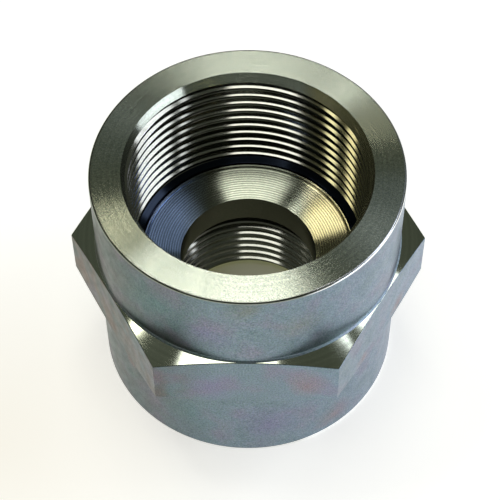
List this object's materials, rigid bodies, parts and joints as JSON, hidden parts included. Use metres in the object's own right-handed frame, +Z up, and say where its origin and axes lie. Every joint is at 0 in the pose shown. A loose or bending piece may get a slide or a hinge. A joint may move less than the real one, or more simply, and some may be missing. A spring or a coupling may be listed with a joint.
{
  "type": "reducing socket",
  "caption": "Zinc-plated steel reducing socket with a hexagon band between round ends, tapped with a large pipe thread above and a small one below.",
  "frame": {"origin": "centre of the bottom face, where the small socket opens", "axes": "+Z up the axis to the mouth of the large socket, +X through two opposite corners of the hexagon"},
  "size_m": [0.0692, 0.06, 0.0536],
  "materials": {
    "plated_steel": "satin zinc plate over turned steel"
  },
  "bodies": {
    "root": {"reducing_socket": "plated_steel"}
  },
  "joints": []
}
